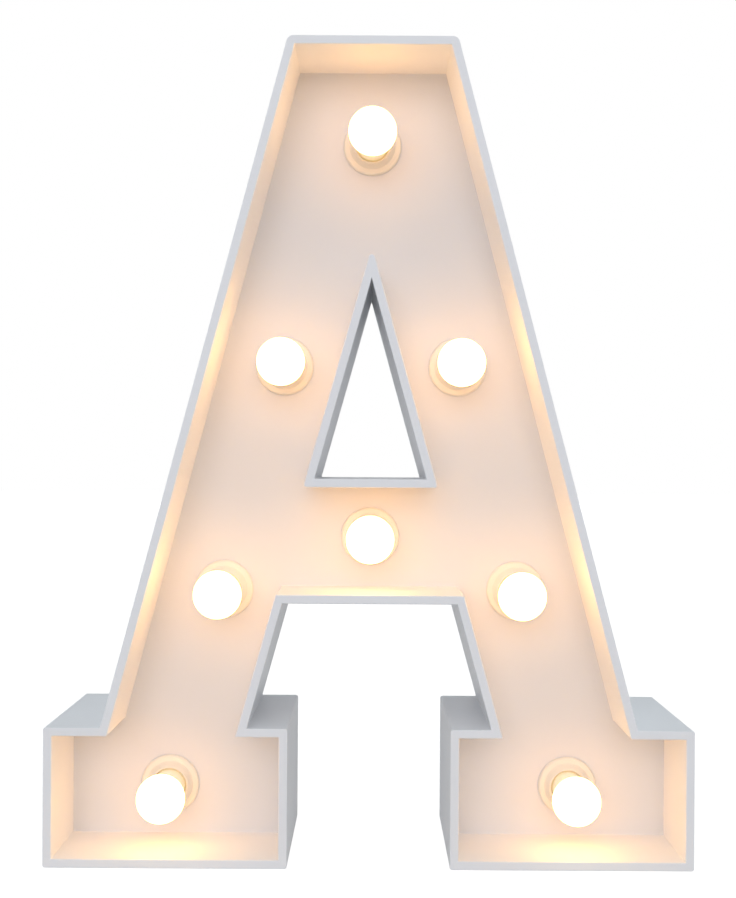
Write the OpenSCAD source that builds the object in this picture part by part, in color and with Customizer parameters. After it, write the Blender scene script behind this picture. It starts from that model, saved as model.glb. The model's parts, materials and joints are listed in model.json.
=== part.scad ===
// Light-up block letter: a moulded tray with eight globe bulbs, closed by a screwed back cover that
// holds the battery bay, its hinged door, the slide switch and a hanging keyhole.
// Millimetres, +Z up, front towards -Y. The origin is on the ground, midway across width and depth.

/* [Letter outline] */
// Height of the letter
letter_h = 220; // [205:1:260]
// Depth from the front rim to the back
letter_d = 45; // [42:0.5:60]
// Width of the flat head
head_w = 45; // [40:0.5:60]
// Width across the legs where they meet the feet
leg_span = 142; // [132:1:152]
// Width across the feet
foot_span = 172; // [162:1:190]
// Height of the feet
foot_h = 37; // [34:0.5:44]
// Gap between the feet
foot_gap = 43; // [36:0.5:48]
// Height of the arch between the legs
arch_h = 70; // [66:0.5:74]
// Width of the arch at its top
arch_w = 46.3; // [40:0.1:50]
// Width of the arch at the top of the feet
arch_foot_w = 64.6; // [58:0.1:68]
// Height of the counter's lower edge above the ground
counter_z = 103; // [98:0.5:108]
// Height of the triangular counter
counter_h = 53; // [46:0.5:58]
// Width of the counter along its lower edge
counter_w = 29.6; // [24:0.1:34]
// Radius on the corners of the head
head_r = 1.8; // [0.5:0.1:4]
// Radius on the outer corners of the feet
foot_r = 0.7; // [0.2:0.1:2]
// Radius on the corners of the rim round the counter
counter_r = 0.8; // [0.2:0.1:1.5]

/* [Shell] */
// Thickness of the outer wall and of the counter's wall
wall = 2.3; // [1.8:0.1:3]
// Thickness of the recessed face
face_t = 2; // [1.6:0.1:3]
// Thickness of the wall's lip round the back cover
cover_lip = 1.2; // [0.8:0.1:1.6]
// Outer diameter of a screw boss
boss_d = 6; // [5:0.1:8]
// Distance of a screw boss from the walls beside it
boss_inset = 5.5; // [4.5:0.1:8]

/* [Bulbs] */
// Diameter of a globe
globe_d = 13; // [10:0.1:15]
// Wall thickness of a globe
globe_wall = 0.9; // [0.6:0.1:1.5]
// Height of a globe's centre above the recessed face
globe_stand = 15.5; // [13:0.1:18]
// Diameter of a globe's neck
neck_d = 8.8; // [8:0.1:9.6]
// Diameter of a holder's flange
flange_d = 16.4; // [14:0.1:20]
// Thickness of a holder's flange
flange_t = 0.9; // [0.6:0.1:1.5]
// Diameter of a holder's collar at its foot
collar_foot_d = 13; // [12:0.1:14]
// Diameter of a holder's collar at its mouth
collar_mouth_d = 10.6; // [10.2:0.1:12]
// Height of a holder's collar above the recessed face
collar_h = 2.6; // [1.6:0.1:5]
// Diameter of a holder's spigot through the face
spigot_d = 10.4; // [10:0.1:12]
// Distance of the top bulb below the head
top_bulb_drop = 23.2; // [18:0.1:30]
// Height of the two bulbs beside the counter
mid_bulb_z = 134.5; // [128:0.1:140]
// Height of the two bulbs beside the arch
low_bulb_z = 71.4; // [66:0.1:76]
// Distance of the leg bulbs from the legs' outer edge, measured level
bulb_inset = 20.7; // [18:0.1:24]
// Height of the foot bulbs
foot_bulb_z = 16.2; // [14:0.1:20]
// Distance of the foot bulbs outwards from the middle of the foot
foot_bulb_shift = 2.4; // [0:0.1:6]
// Diameter of an LED
led_d = 5; // [3:0.1:5.5]
// Length of an LED without its legs
led_l = 8.6; // [7:0.1:10]

/* [Back cover] */
// Thickness of the back cover
cover_t = 2; // [1.8:0.1:3]
// Gap round the edge of the back cover
cover_gap = 0.15; // [0.1:0.05:0.3]
// Thickness of the rib that centres the cover in the shell
rib_t = 1.2; // [0.8:0.1:2]
// Height of that rib
rib_h = 2; // [1:0.1:4]
// Diameter of the keyhole's round end
key_head_d = 8; // [6:0.1:9]
// Width of the keyhole's slot
key_slot_w = 4; // [3:0.1:5]
// Rise of the slot's end above the centre of the round end
key_rise = 7; // [5:0.1:8]
// Distance of the round end's centre below the head
key_drop = 18; // [15:0.1:24]
// Diameter of a screw head
screw_head_d = 4.6; // [4:0.1:5]
// Diameter of a screw shank
screw_d = 2.2; // [1.8:0.1:2.6]
// Length of a screw shank
screw_l = 10; // [7:0.1:12]

/* [Batteries] */
// Diameter of a cell
cell_d = 10.5; // [9.5:0.1:11.5]
// Length of a cell with its button
cell_l = 44.5; // [40:0.1:48]
// Room for the leads between the face and the battery bay
wire_room = 6.1; // [5.6:0.1:10]
// Wall thickness of the battery bay
bay_wall = 2.3; // [1.8:0.1:2.6]
// Thickness of the battery bay's floor
bay_floor_t = 1.2; // [0.8:0.1:2]
// Length of a contact spring with its plate
spring_l = 4.6; // [4.2:0.1:6]
// Thickness of the battery door
door_t = 1.7; // [1.2:0.1:1.7]
// Diameter of the door's knuckle
knuckle_d = 2.5; // [2.2:0.1:3]
// Diameter of the door's hinge pins
pin_d = 1.4; // [1:0.1:1.6]

/* [Switch] */
// Width of the switch body
switch_w = 12; // [11:0.1:14]
// Height of the switch body
switch_h = 6.4; // [5.6:0.1:8]
// Depth of the switch body
switch_depth = 5.5; // [4.8:0.1:7]
// Width of the knob along its travel
knob_w = 3.2; // [2.4:0.1:4]
// Height of the knob
knob_h = 3; // [2.4:0.1:3.6]
// Travel of the knob from off to on
knob_travel = 4; // [2:0.1:4.4]

/* [Leads] */
// Diameter of a lead
wire_d = 1; // [0.6:0.1:1.2]

/* [Hidden] */
$fn = 48;
bulb_count = 8;
corner_steps = 5;
cut = 1;

// Depth planes, from the front rim to the back
front_y = -letter_d / 2;
back_y = letter_d / 2;
cover_y = back_y - cover_t;
join_y = cover_y + cover_t / 2;
cell_gap = 0.4;
cell_seat = 0.1;
cell_y = cover_y - cell_gap - cell_d / 2;
bay_floor_y = cell_y - cell_d / 2 - cell_seat;
bay_front_y = bay_floor_y - bay_floor_t;
face_back_y = bay_front_y - wire_room;
face_y = face_back_y - face_t;

// Outline of the letter, anticlockwise from the right foot's inner corner
right_outer = [
    [foot_gap / 2, 0],
    [foot_span / 2, 0],
    [foot_span / 2, foot_h],
    [leg_span / 2, foot_h],
    [head_w / 2, letter_h]
];
right_arch = [
    [arch_w / 2, arch_h],
    [arch_foot_w / 2, foot_h],
    [foot_gap / 2, foot_h]
];
letter_points = concat(right_outer, mirrored(right_outer), mirrored(right_arch), right_arch);
counter_top_z = counter_z + counter_h;
counter_points = [[-counter_w / 2, counter_z], [counter_w / 2, counter_z], [0, counter_top_z]];

// Slope of the legs, and the place of their inner faces at a height
leg_angle = atan((leg_span - head_w) / 2 / (letter_h - foot_h));
level_wall = wall / cos(leg_angle);
function leg_edge(z) = head_w / 2 + (letter_h - z) * tan(leg_angle);
function counter_edge(z) = counter_w / 2 * (counter_top_z - z) / counter_h;
function leg_middle(z) = (leg_edge(z) + counter_edge(z)) / 2;

// Bulb places across the letter: head, legs, crossbar and feet
crossbar_z = (arch_h + counter_z) / 2;
mid_bulb_x = leg_edge(mid_bulb_z) - bulb_inset;
low_bulb_x = leg_edge(low_bulb_z) - bulb_inset;
foot_bulb_x = (foot_gap + foot_span) / 4 + foot_bulb_shift;
bulb_spots = [
    [0, letter_h - top_bulb_drop],
    [-mid_bulb_x, mid_bulb_z],
    [mid_bulb_x, mid_bulb_z],
    [0, crossbar_z],
    [-low_bulb_x, low_bulb_z],
    [low_bulb_x, low_bulb_z],
    [-foot_bulb_x, foot_bulb_z],
    [foot_bulb_x, foot_bulb_z]
];

// Bulb holder and LED, as heights above the recessed face
neck_gap = 0.15;
mouth_relief = 0.3;
mouth_depth = 0.8;
spigot_gap = 0.1;
snap_lip = 0.5;
snap_gap = 0.05;
web_sink = 0.3;
web_top = -face_t - web_sink;
web_t = 1.2;
web_foot = web_top - web_t;
neck_seat = 0.05;
neck_foot = web_top + neck_seat;
led_gap = 0.05;
led_rim = 0.4;
led_rim_t = 1;
led_foot = web_foot - led_rim_t;
led_leg_pitch = 2.54;
led_leg_w = 0.5;

// Leads behind the face: the black one nearer to it, the red one behind
wire_sides = 8;
lead_gap = 0.05;
lead_space = 0.3;
black_y = face_y - led_foot + lead_space + wire_d / 2;
red_y = black_y + wire_d + lead_space;
bulb_pass = 4;

// Screw bosses: head, legs beside the middle bulbs, and both ends of each foot
leg_boss_z = mid_bulb_z + boss_d;
boss_right = [
    [leg_edge(letter_h) - level_wall - 2 * boss_inset + boss_d / 3, letter_h - wall - 1.5 * boss_inset],
    [leg_edge(leg_boss_z) - level_wall - boss_inset, leg_boss_z],
    [foot_span / 2 - wall - boss_inset, wall + boss_inset],
    [foot_gap / 2 + wall + boss_inset, wall + boss_inset]
];
boss_spots = concat(boss_right, mirrored(boss_right));
boss_collar_t = 1.7;
boss_collar_rim = 1;
boss_collar_d = boss_d + 2 * boss_collar_rim;
boss_top_y = cover_y - boss_collar_t;
pilot_gap = 0.1;
screw_gap = 0.4;
screw_head_t = 1.5;
screw_sink = 0.4;
screw_seat_y = back_y - screw_sink - screw_head_t;
well_gap = 0.6;
rib_gap = 0.3;

// Battery bay, in its own frame: u across the leg, v up along it
bay_z = (mid_bulb_z + low_bulb_z) / 2;
bay_x = leg_middle(bay_z);
cell_space = 0.6;
cell_pitch = cell_d + cell_space;
cell_side_gap = 0.4;
contact_t = 0.4;
contact_bump = 0.5;
contact_w = 9;
tab_l = contact_t + contact_bump;
bay_in_w = cell_pitch + cell_d + 2 * cell_side_gap;
bay_in_l = cell_l + spring_l + tab_l;
bay_rib_t = 1.2;
bay_rib_h = 2;
bay_rib_l = cell_l - cell_d;
ledge = 1.2;
door_gap = 0.3;
door_sink = 0.2;
door_w = bay_in_w + 2 * (ledge - door_gap);
door_foot_v = -bay_in_l / 2 - ledge + door_gap;
door_back_y = back_y - door_sink;
door_front_y = door_back_y - door_t;
knuckle_gap = 0.35;
knuckle_r = knuckle_d / 2 + knuckle_gap;
hinge_wall = 0.8;
knuckle_sink = 0.05;
hinge_y = door_back_y - knuckle_d / 2 - knuckle_sink;
hinge_v = bay_in_l / 2 + hinge_wall + knuckle_r;
pin_gap = 0.05;
pin_l = 0.9;
pin_tip = door_w / 2 + door_gap + pin_l;
pin_cap = 0.6;
hinge_block_u = pin_tip + pin_cap;
tail_l = 1.7;
tail_w = 2;
tail_gap = 0.2;
tail_v = -bay_in_l / 2 - bay_wall - tail_l;
grip_w = 12;
grip_l = 0.7;
grip_edge = 2.5;
grip_count = 3;
scoop_d = 9;
scoop_depth = 1.2;

// Contact spring: a cone of wire
spring_wire_d = 0.6;
spring_turns = 3.5;
spring_rings = 8;
spring_base_r = 3.6;
spring_tip_r = 1.6;
spring_seat = 0.05;

// Switch: a case against the cover, with its knob in a shallow pocket
switch_wall = 0.8;
ear_t = 0.6;
ear_l = 3.75;
peg_d = 1.8;
peg_gap = 0.1;
peg_l = 1.6;
peg_x = switch_w / 2 + ear_l / 2;
slide_gap = 0.15;
slide_t = 2;
slide_lap = 1.1;
slide_w = knob_w + 2 * slide_lap;
slide_play = 0.8;
slide_room = slide_t + slide_play;
slot_gap = 0.2;
slot_w = knob_w + knob_travel + 2 * slot_gap;
slot_h = knob_h + 2 * slot_gap;
knob_on = knob_travel / 2;
knob_sink = 0.3;
pocket_side = 2;
pocket_depth = 1;
terminal_pitch = 3.5;
terminal_w = 1.6;
terminal_t = 0.5;
terminal_l = 3.5;
terminal_y = cover_y - switch_depth;
terminal_tip_y = terminal_y - terminal_l;

// Plane geometry of outlines

function mirrored(points) = [for (i = [len(points) - 1:-1:0]) [-points[i][0], points[i][1]]];
function unit(v) = v / norm(v);
function left_of(a, b) = let (t = unit(b - a)) [-t[1], t[0]];
function ring_item(points, i) = points[(i + len(points)) % len(points)];

// Outline moved inwards by d, with mitred corners; a negative d moves it outwards
function inset(points, d) = [
    for (i = [0:len(points) - 1])
        let (
            before = left_of(ring_item(points, i - 1), points[i]),
            after = left_of(points[i], ring_item(points, i + 1))
        )
        points[i] + d * (before + after) / (1 + before * after)
];

// Outline with an arc on each outer corner, of the radius listed for it
function rounded(points, radii) = [
    for (i = [0:len(points) - 1])
        let (
            here = points[i],
            r = radii[i],
            t1 = unit(here - ring_item(points, i - 1)),
            t2 = unit(ring_item(points, i + 1) - here),
            bend = acos(t1 * t2),
            start = here - t1 * r * tan(bend / 2),
            centre = start + r * [-t1[1], t1[0]],
            first = atan2(t1[1], t1[0]) - 90
        )
        each cross(t1, t2) > 0 && r > 0
            ? [for (k = [0:corner_steps])
                let (a = first + bend * k / corner_steps)
                centre + r * [cos(a), sin(a)]]
            : [here]
];

// Points of the battery bay's frame in the letter's frame
function bay_point(u, y, v) = [
    bay_x + u * cos(leg_angle) - v * sin(leg_angle),
    y,
    bay_z + u * sin(leg_angle) + v * cos(leg_angle)
];

// Lead routes: corner cutting once, then a tube of flat sides along the points
function smooth(path) = concat(
    [path[0]],
    [for (i = [0:len(path) - 2])
        for (s = [0.25, 0.75])
            path[i] + s * (path[i + 1] - path[i])],
    [path[len(path) - 1]]
);
function along(path, i) = unit(path[min(i + 1, len(path) - 1)] - path[max(i - 1, 0)]);
function ring_points(centre, tangent, side, r, sides) =
    let (e1 = unit(cross(tangent, side)), e2 = cross(tangent, e1))
    [for (k = [0:sides - 1])
        let (a = 360 * k / sides)
        centre + r * (cos(a) * e1 + sin(a) * e2)];

module tube(path, d, sides, side) {
    rings = len(path);
    points = [
        for (i = [0:rings - 1])
            each ring_points(path[i], along(path, i), side, d / 2, sides)
    ];
    skin = [
        for (i = [0:rings - 2])
            for (k = [0:sides - 1])
                let (a = i * sides + k, b = i * sides + (k + 1) % sides)
                each [[a, b + sides, b], [a, a + sides, b + sides]]
    ];
    last = (rings - 1) * sides;
    ends = [
        for (k = [1:sides - 2])
            each [[0, k, k + 1], [last, last + k + 1, last + k]]
    ];
    polyhedron(points, concat(skin, ends));
}

// Solids between two depth planes

module slab(y0, y1) {
    translate([0, y1, 0]) rotate([90, 0, 0]) linear_extrude(y1 - y0) children();
}

module outline(d) {
    radii = [for (p = letter_points) max((p[1] > foot_h ? head_r : foot_r) - d, 0)];
    polygon(rounded(inset(letter_points, d), radii));
}

module counter(d) {
    radii = [for (p = counter_points) d > 0 ? counter_r : 0];
    polygon(rounded(inset(counter_points, -d), radii));
}

module stroke(d) {
    difference() {
        outline(d);
        counter(d);
    }
}

module block(u0, u1, y0, y1, v0, v1) {
    translate([u0, y0, v0]) cube([u1 - u0, y1 - y0, v1 - v0]);
}

module axle(u0, u1, d, y, v) {
    translate([u0, y, v]) rotate([0, 90, 0]) cylinder(d = d, h = u1 - u0);
}

module stadium(length, width) {
    square([length - width, width], center = true);
    for (s = [-1, 1])
        translate([s * (length - width) / 2, 0]) circle(d = width);
}

module at_spots(spots) {
    for (p = spots)
        translate(p) children();
}

module in_bay() {
    translate([bay_x, 0, bay_z]) rotate([0, -leg_angle, 0]) children();
}

module at_bulb(i) {
    translate([bulb_spots[i][0], face_y, bulb_spots[i][1]]) rotate([90, 0, 0]) children();
}

module at_switch() {
    translate([0, 0, crossbar_z]) children();
}

// Housing

module letter_shell() {
    color("white") difference() {
        union() {
            difference() {
                slab(front_y, back_y) stroke(0);
                slab(front_y - cut, face_y) stroke(wall);
                slab(face_back_y, back_y + cut) stroke(wall);
                slab(cover_y, back_y + cut) stroke(cover_lip);
            }
            slab(face_back_y - cut, boss_top_y) at_spots(boss_spots) circle(d = boss_d);
        }
        slab(face_y - cut, face_back_y + cut) at_spots(bulb_spots) circle(d = spigot_d + 2 * spigot_gap);
        slab(screw_seat_y - screw_l - cut, boss_top_y + cut)
            at_spots(boss_spots) circle(d = screw_d + pilot_gap);
    }
}

module back_cover() {
    color("whitesmoke") union() {
        difference() {
            cover_body();
            cover_cuts();
        }
        in_bay() bay_rib();
    }
}

module cover_body() {
    slab(cover_y, back_y) stroke(cover_lip + cover_gap);
    slab(cover_y - rib_h, join_y) difference() {
        stroke(wall + rib_gap);
        stroke(wall + rib_gap + rib_t);
    }
    slab(boss_top_y, join_y) at_spots(boss_spots) circle(d = boss_collar_d);
    in_bay() bay_walls();
    at_switch() slab(cover_y - peg_l, join_y)
        for (s = [-1, 1])
            translate([s * peg_x, 0]) circle(d = peg_d);
}

module cover_cuts() {
    slab(screw_seat_y, back_y + cut) at_spots(boss_spots) circle(d = screw_head_d + well_gap);
    slab(boss_top_y - cut, back_y) at_spots(boss_spots) circle(d = screw_d + screw_gap);
    slab(cover_y - cut, back_y + cut) keyhole();
    in_bay() bay_cuts();
    at_switch() slab(back_y - pocket_depth, back_y + cut)
        stadium(slot_w + 2 * pocket_side + slot_h, slot_h + 2 * pocket_side);
    at_switch() slab(cover_y - cut, back_y + cut) square([slot_w, slot_h], center = true);
}

module keyhole() {
    translate([0, letter_h - key_drop]) {
        circle(d = key_head_d);
        translate([-key_slot_w / 2, 0]) square([key_slot_w, key_rise]);
        translate([0, key_rise]) circle(d = key_slot_w);
    }
}

module bay_walls() {
    half_w = bay_in_w / 2 + bay_wall;
    half_l = bay_in_l / 2 + bay_wall;
    block_front_y = hinge_y - knuckle_r - hinge_wall;
    block_top_v = hinge_v + knuckle_r + hinge_wall;
    block(-half_w, half_w, bay_front_y, join_y, -half_l, half_l);
    block(-hinge_block_u, hinge_block_u, block_front_y, join_y, bay_in_l / 2, block_top_v);
}

module bay_rib() {
    rib_foot_y = bay_floor_y - bay_floor_t / 2;
    block(-bay_rib_t / 2, bay_rib_t / 2, rib_foot_y, bay_floor_y + bay_rib_h, -bay_rib_l / 2, bay_rib_l / 2);
}

module bay_cuts() {
    hole_u = door_w / 2 + door_gap;
    block(-bay_in_w / 2, bay_in_w / 2, bay_floor_y, back_y + cut, -bay_in_l / 2, bay_in_l / 2);
    block(-hole_u, hole_u, cover_y, back_y + cut, door_foot_v - door_gap, hinge_v + knuckle_r);
    axle(-hole_u, hole_u, 2 * knuckle_r, hinge_y, hinge_v);
    axle(-pin_tip - pin_gap, pin_tip + pin_gap, pin_d + 2 * pin_gap, hinge_y, hinge_v);
    for (u = [-cell_pitch / 2, cell_pitch / 2])
        block(
            u - tail_w / 2 - tail_gap, u + tail_w / 2 + tail_gap,
            cell_y - contact_t / 2 - tail_gap, cell_y + contact_t / 2 + tail_gap,
            tail_v, -bay_in_l / 2 + cut
        );
    translate([0, back_y - scoop_depth, door_foot_v - door_gap])
        rotate([-90, 0, 0]) cylinder(d = scoop_d, h = scoop_depth + cut);
}

module cover_screws() {
    color("silver") for (p = boss_spots)
        translate([p[0], screw_seat_y, p[1]]) rotate([-90, 0, 0]) cover_screw();
}

module cover_screw() {
    tip_l = screw_d;
    crown_r = screw_head_d / 3;
    rim_t = screw_head_t / 2;
    slot_w = screw_d / 3;
    slot_l = 2 * crown_r;
    slot_floor = screw_head_t / 3;
    difference() {
        rotate_extrude() polygon([
            [0, -screw_l],
            [screw_d / 2, -screw_l + tip_l],
            [screw_d / 2, 0],
            [screw_head_d / 2, 0],
            [screw_head_d / 2, rim_t],
            [crown_r, screw_head_t],
            [0, screw_head_t]
        ]);
        for (turn = [0, 90])
            rotate(turn) translate([-slot_l / 2, -slot_w / 2, slot_floor])
                cube([slot_l, slot_w, screw_head_t]);
    }
}

// Bulbs

module bulb_holder(i) {
    spigot_r = spigot_d / 2;
    bore_r = neck_d / 2 + neck_gap;
    edge = flange_t / 2;
    color("ivory") at_bulb(i) rotate_extrude() polygon([
        [led_d / 2 + led_gap, web_foot],
        [spigot_r, web_foot],
        [spigot_r + snap_lip, -face_t - web_t / 2],
        [spigot_r + snap_lip, -face_t - snap_gap],
        [spigot_r, -face_t - snap_gap],
        [spigot_r, 0],
        [flange_d / 2, 0],
        [flange_d / 2, flange_t - edge],
        [flange_d / 2 - edge, flange_t],
        [collar_foot_d / 2, flange_t],
        [collar_mouth_d / 2, collar_h],
        [bore_r + mouth_relief, collar_h],
        [bore_r + mouth_relief, collar_h - mouth_depth],
        [bore_r, collar_h - mouth_depth],
        [bore_r, web_top],
        [led_d / 2 + led_gap, web_top]
    ]);
}

module bulb_globe(i) {
    color("lightyellow") at_bulb(i) difference() {
        union() {
            translate([0, 0, globe_stand]) sphere(d = globe_d);
            translate([0, 0, neck_foot]) cylinder(d = neck_d, h = globe_stand - neck_foot);
        }
        translate([0, 0, globe_stand]) sphere(d = globe_d - 2 * globe_wall);
        translate([0, 0, neck_foot - cut])
            cylinder(d = neck_d - 2 * globe_wall, h = globe_stand - neck_foot + cut);
    }
}

module led(i) {
    dome_steps = 8;
    r = led_d / 2;
    shoulder = led_foot + led_l - r;
    color("gold") at_bulb(i) {
        rotate_extrude() polygon(concat(
            [[0, led_foot], [r + led_rim, led_foot], [r + led_rim, web_foot], [r, web_foot]],
            [for (k = [0:dome_steps])
                let (a = 90 * k / dome_steps)
                [r * cos(a), shoulder + r * sin(a)]]
        ));
        led_leg(-1, black_y);
        led_leg(1, red_y);
    }
}

module led_leg(side, wire_y) {
    length = wire_y - wire_d / 2 - lead_gap - face_y + led_foot;
    translate([side * led_leg_pitch / 2 - led_leg_w / 2, -led_leg_w / 2, led_foot - length])
        cube([led_leg_w, led_leg_w, length]);
}

// Batteries

module battery_door() {
    grip_v = door_foot_v + grip_edge;
    color("whitesmoke") in_bay() difference() {
        union() {
            block(-door_w / 2, door_w / 2, door_front_y, door_back_y, door_foot_v, hinge_v);
            axle(-door_w / 2, door_w / 2, knuckle_d, hinge_y, hinge_v);
            axle(-pin_tip, pin_tip, pin_d, hinge_y, hinge_v);
        }
        for (k = [0:grip_count - 1])
            block(
                -grip_w / 2, grip_w / 2, door_back_y - door_t / 3, door_back_y + cut,
                grip_v + 2 * k * grip_l, grip_v + (2 * k + 1) * grip_l
            );
    }
}

module battery_cell(side) {
    nub_d = 3.8;
    nub_l = 0.8;
    plus_v = bay_in_l / 2 - tab_l;
    turn = side < 0 ? 1 : 0;
    color("steelblue") in_bay() translate([side * cell_pitch / 2, cell_y, 0]) mirror([0, 0, turn]) {
        translate([0, 0, plus_v - cell_l]) cylinder(d = cell_d, h = cell_l - nub_l);
        translate([0, 0, plus_v - nub_l - cut]) cylinder(d = nub_d, h = nub_l + cut);
    }
}

module contact_plate(u0, u1, v0) {
    plate_gap = 0.2;
    block(
        u0 - contact_w / 2, u1 + contact_w / 2,
        bay_floor_y + plate_gap, cover_y - 3 * plate_gap, v0, v0 + contact_t
    );
}

module contact_tail(u) {
    block(
        u - tail_w / 2, u + tail_w / 2, cell_y - contact_t / 2, cell_y + contact_t / 2,
        tail_v, -bay_in_l / 2 + contact_t
    );
}

module contact_button(u, v) {
    bump_d = 4;
    translate([u, cell_y, v]) cylinder(d = bump_d, h = tab_l);
}

module contact_spring() {
    length = spring_l - contact_t - 2 * spring_seat - spring_wire_d;
    steps = spring_turns * spring_rings;
    path = [
        for (k = [0:steps])
            let (
                share = k / steps,
                a = 360 * k / spring_rings,
                r = spring_base_r + share * (spring_tip_r - spring_base_r)
            )
            [r * cos(a), r * sin(a), spring_seat + spring_wire_d / 2 + share * length]
    ];
    apart = [
        for (i = [0:steps])
            for (k = [i + spring_rings / 2:1:steps])
                norm(path[i] - path[k]) - spring_wire_d
    ];
    echo(least_gap_in_contact_spring = min(apart));
    tube(path, spring_wire_d, 6, [0, 0, 1]);
}

module contact_plus() {
    u = -cell_pitch / 2;
    color("silver") in_bay() {
        contact_plate(u, u, -bay_in_l / 2);
        contact_tail(u);
        contact_button(u, -bay_in_l / 2);
    }
}

module contact_minus() {
    u = cell_pitch / 2;
    color("silver") in_bay() {
        contact_plate(u, u, -bay_in_l / 2);
        contact_tail(u);
        translate([u, cell_y, -bay_in_l / 2 + contact_t]) contact_spring();
    }
}

module contact_bridge() {
    u = cell_pitch / 2;
    color("silver") in_bay() {
        contact_plate(-u, u, bay_in_l / 2 - contact_t);
        contact_button(u, bay_in_l / 2 - tab_l);
        translate([-u, cell_y, bay_in_l / 2 - contact_t]) rotate([180, 0, 0]) contact_spring();
    }
}

// Switch

module switch_body() {
    color("lightslategray") at_switch() difference() {
        union() {
            slab(cover_y - switch_depth, cover_y) square([switch_w, switch_h], center = true);
            slab(cover_y - ear_t, cover_y) square([switch_w + 2 * ear_l, switch_h], center = true);
        }
        slab(cover_y - ear_t - slide_room, cover_y - ear_t)
            square([switch_w - 2 * switch_wall, switch_h - 2 * switch_wall], center = true);
        slab(cover_y - ear_t - cut / 2, cover_y + cut) square([slot_w, slot_h], center = true);
        slab(cover_y - ear_t - cut, cover_y + cut)
            for (s = [-1, 1])
                translate([s * peg_x, 0]) circle(d = peg_d + 2 * peg_gap);
    }
}

module switch_terminals() {
    color("silver") at_switch()
        for (k = [-1:1])
            block(
                k * terminal_pitch - terminal_w / 2, k * terminal_pitch + terminal_w / 2,
                terminal_tip_y, terminal_y, -terminal_t / 2, terminal_t / 2
            );
}

module switch_slider() {
    slide_y = cover_y - ear_t - slide_room / 2;
    slide_h = switch_h - 2 * switch_wall - 2 * slide_gap;
    color("dimgray") at_switch() translate([knob_on, 0, 0]) {
        slab(slide_y - slide_t / 2, slide_y + slide_t / 2) square([slide_w, slide_h], center = true);
        slab(slide_y, back_y - knob_sink) square([knob_w, knob_h], center = true);
    }
}

// Leads: one run past every bulb but the crossbar's, a branch to that one, and the feeds

function pass(i, side, y, way) = [
    for (s = [-1, 1])
        [bulb_spots[i][0] + side * led_leg_pitch / 2, y, bulb_spots[i][1] + way * s * bulb_pass]
];
function bulb_run(side, y) = concat(
    pass(6, side, y, 1),
    pass(4, side, y, 1),
    pass(1, side, y, 1),
    pass(0, side, y, 1),
    [[bulb_pass * 1.5 + side * led_leg_pitch / 2, y, bulb_spots[0][1] + bulb_pass]],
    pass(2, side, y, -1),
    pass(5, side, y, -1),
    pass(7, side, y, -1)
);
function beside(i, side, y, way) = [
    bulb_spots[i][0] + side * led_leg_pitch / 2 + way * (wire_d + lead_gap),
    y,
    bulb_spots[i][1] + bulb_pass / 2
];

module wire_black() {
    tail = bay_point(cell_pitch / 2, cell_y, tail_v - lead_gap);
    below_tail = bay_point(cell_pitch / 2, cell_y, tail_v - bulb_pass);
    join = beside(5, -1, black_y, -1);
    color("black") {
        tube(smooth(bulb_run(-1, black_y)), wire_d, wire_sides, [0, 1, 0]);
        tube(
            smooth(concat(pass(3, -1, black_y, -1), [beside(4, -1, black_y, 1)])),
            wire_d, wire_sides, [0, 1, 0]
        );
        tube(
            smooth([tail, below_tail, join + [-bulb_pass, 0, 0], join]),
            wire_d, wire_sides, [0.5, 0.7, 0.5]
        );
    }
}

module wire_red() {
    tip = [terminal_pitch, terminal_tip_y - lead_gap, crossbar_z];
    color("red") {
        tube(smooth(bulb_run(1, red_y)), wire_d, wire_sides, [0, 1, 0]);
        tube(
            smooth(concat(
                [tip, tip - [0, wire_d, 0], [tip[0], (tip[1] + red_y) / 2, crossbar_z + bulb_pass]],
                pass(3, 1, red_y, -1),
                [beside(4, 1, red_y, 1)]
            )),
            wire_d, wire_sides, [0.5, 0.6, -0.6]
        );
    }
}

module wire_feed() {
    tail = bay_point(-cell_pitch / 2, cell_y, tail_v - lead_gap);
    tip = [0, terminal_tip_y - lead_gap, crossbar_z];
    color("firebrick") tube(
        smooth([
            tail,
            bay_point(-cell_pitch / 2, cell_y, tail_v - bulb_pass),
            tip + [2 * bulb_pass, -wire_d, -2 * bulb_pass],
            tip + [0, -2 * wire_d, 0],
            tip
        ]),
        wire_d, wire_sides, [0.5, 0.3, -0.8]
    );
}

letter_shell();
back_cover();
cover_screws();
battery_door();
battery_cell(-1);  // battery_cell_1
battery_cell(1);  // battery_cell_2
contact_plus();
contact_minus();
contact_bridge();
switch_body();
switch_terminals();
switch_slider();
wire_black();
wire_red();
wire_feed();
for (i = [0:bulb_count - 1]) {
    bulb_holder(i);
    bulb_globe(i);
    led(i);
}
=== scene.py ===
"""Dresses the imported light-up letter: softened mouldings, lit bulbs, finishes and a plain studio.

Everything is in metres in the part's own frame: +Z up, the bulbs face -Y, the ground is at z = 0.
"""

import json
import logging
import math
from dataclasses import dataclass
from enum import Enum
from typing import Any

import bmesh
import bpy
from mathutils import Matrix, Vector


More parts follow.
